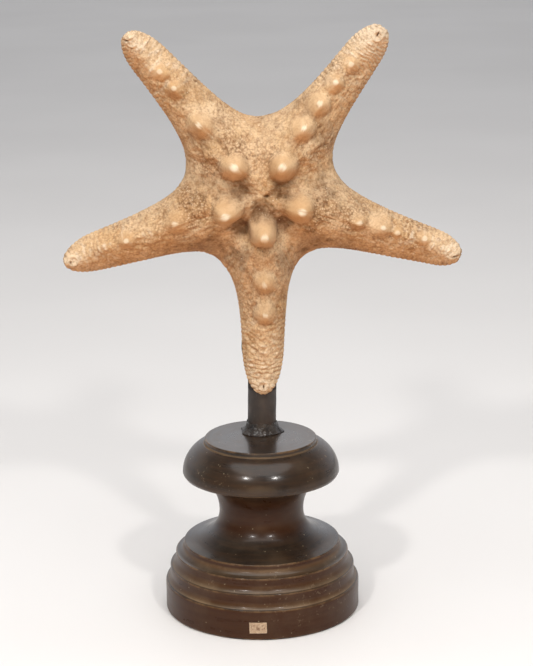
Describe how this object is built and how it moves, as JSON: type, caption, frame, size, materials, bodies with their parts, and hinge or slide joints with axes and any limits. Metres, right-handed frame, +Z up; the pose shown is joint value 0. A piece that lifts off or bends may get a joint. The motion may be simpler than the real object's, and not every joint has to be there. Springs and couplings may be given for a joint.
{
  "type": "mounted dried starfish",
  "caption": "Dried knobbly starfish held upright by a dark post in a turned, ebonised wooden stand with a blank paper label.",
  "frame": {"origin": "centre of the stand's flat underside", "axes": "+Z up along the axis that the stand is turned about; the star's knobbly side faces -Y and its flat oral side faces +Y; +X is to the right seen from the front"},
  "size_m": [0.1984, 0.1005, 0.2999],
  "materials": {
    "starfish": "matte",
    "post": "satin",
    "mastic": "gloss",
    "ebonised_wood": "satin",
    "label_paper": "matte"
  },
  "bodies": {
    "root": {"starfish": "starfish", "mount_post": "post", "arm_bedding": "mastic", "foot_filler": "mastic", "stand_capital": "ebonised_wood", "stand_pedestal": "ebonised_wood", "paper_label": "label_paper"}
  },
  "joints": []
}
